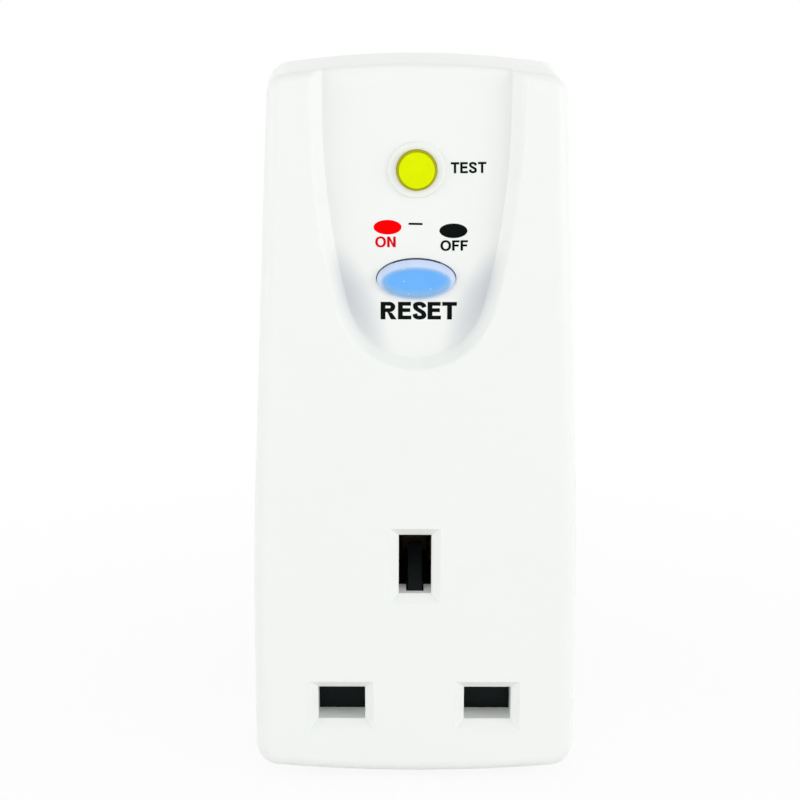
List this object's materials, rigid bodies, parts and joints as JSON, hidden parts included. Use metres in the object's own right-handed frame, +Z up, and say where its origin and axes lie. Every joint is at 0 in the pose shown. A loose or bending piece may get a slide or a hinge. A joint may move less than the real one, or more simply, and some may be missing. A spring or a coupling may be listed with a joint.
{
  "type": "rcd plug adapter",
  "caption": "White plug-in mains adapter with residual current protection: pins at the rear, a shuttered socket below and a sunk panel with test and reset buttons above.",
  "frame": {"origin": "on the plug face (the rear face that meets the wall outlet), midway between the line and neutral pins", "axes": "+Z up along the case, +Y out of the plug face along the pins, +X to the right as seen from the front"},
  "size_m": [0.051, 0.0567, 0.1093],
  "materials": {
    "white_shell": "smooth gloss moulding",
    "brass_pins": "machined",
    "black_sleeve": "satin",
    "yellow_button": "satin",
    "blue_button": "translucent look, gloss",
    "black_shutter": "satin",
    "spring_steel": "drawn wire",
    "inner_moulding": "as moulded",
    "contact_brass": "stamped",
    "strap_copper": "stamped copper",
    "barrier_sheet": "pressed sheet",
    "board_green": "solder mask",
    "chip_black": "moulded package",
    "varistor_blue": "dipped lacquer",
    "capacitor_grey": "box",
    "resistor_tan": "lacquer",
    "core_grey": "ferrite",
    "winding_copper": "enamelled wire",
    "plated_steel": "zinc plated",
    "leaf_bronze": "phosphor bronze"
  },
  "bodies": {
    "case": {"front_cover": "white_shell", "rear_base": "white_shell", "live_pin": "brass_pins", "neutral_pin": "brass_pins", "earth_pin": "brass_pins", "live_pin_sleeve": "black_sleeve", "neutral_pin_sleeve": "black_sleeve", "shutter_spring": "spring_steel", "left_carrier_spring": "spring_steel", "right_carrier_spring": "spring_steel", "reset_spring": "spring_steel", "plunger_spring": "spring_steel", "socket_moulding": "inner_moulding", "mechanism_frame": "inner_moulding", "solenoid_bobbin": "inner_moulding", "live_socket_contact": "contact_brass", "neutral_socket_contact": "contact_brass", "earth_socket_contact": "contact_brass", "earth_link": "contact_brass", "live_supply_contact": "contact_brass", "neutral_supply_contact": "contact_brass", "live_load_contact": "contact_brass", "neutral_load_contact": "contact_brass", "live_supply_strap": "strap_copper", "neutral_supply_strap": "strap_copper", "live_load_strap": "strap_copper", "neutral_load_strap": "strap_copper", "insulating_plate": "barrier_sheet", "circuit_board": "board_green", "control_chip": "chip_black", "varistor": "varistor_blue", "suppression_capacitor": "capacitor_grey", "test_resistor": "resistor_tan", "transformer_core": "core_grey", "transformer_winding": "winding_copper", "solenoid_coil": "winding_copper", "solenoid_yoke": "plated_steel", "case_screws": "plated_steel", "test_leaf": "leaf_bronze", "test_terminal": "leaf_bronze"},
    "test_button": {"test_button": "yellow_button"},
    "reset_button": {"reset_button": "blue_button"},
    "shutter": {"shutter": "black_shutter"},
    "contact_carrier": {"contact_carrier": "inner_moulding", "live_moving_contact": "contact_brass", "neutral_moving_contact": "contact_brass", "latch_spring": "spring_steel"},
    "latch_plate": {"latch_plate": "plated_steel"},
    "solenoid_plunger": {"solenoid_plunger": "plated_steel"}
  },
  "joints": [
    {"name": "test_press", "type": "slide", "parent": "case", "child": "test_button", "axis": [0, 1, 0], "range_m": [0, 0.0012], "stiffness_N_per_m": 400, "springref_m": -0.002, "deforming": ["test_leaf"]},
    {"name": "reset_press", "type": "slide", "parent": "case", "child": "reset_button", "axis": [0, 1, 0], "range_m": [0, 0.003], "stiffness_N_per_m": 500, "springref_m": -0.002, "deforming": ["reset_spring"]},
    {"name": "shutter_slide", "type": "slide", "parent": "case", "child": "shutter", "axis": [0, 0, -1], "range_m": [0, 0.0055], "stiffness_N_per_m": 120, "springref_m": -0.004, "deforming": ["shutter_spring"]},
    {"name": "carrier_slide", "type": "slide", "parent": "case", "child": "contact_carrier", "axis": [0, -1, 0], "range_m": [0, 0.0022], "stiffness_N_per_m": 600, "springref_m": -0.002, "deforming": ["left_carrier_spring", "right_carrier_spring"]},
    {"name": "latch_slide", "type": "slide", "parent": "contact_carrier", "child": "latch_plate", "axis": [0, 0, -1], "range_m": [0, 0.0012], "stiffness_N_per_m": 150, "springref_m": -0.001, "deforming": ["latch_spring"]},
    {"name": "plunger_slide", "type": "slide", "parent": "case", "child": "solenoid_plunger", "axis": [0, 0, -1], "range_m": [0, 0.0012], "stiffness_N_per_m": 200, "springref_m": -0.001, "deforming": ["plunger_spring"]}
  ],
  "couplings": [
    {"joint": "latch_slide", "follows": "plunger_slide", "ratio": 1}
  ]
}
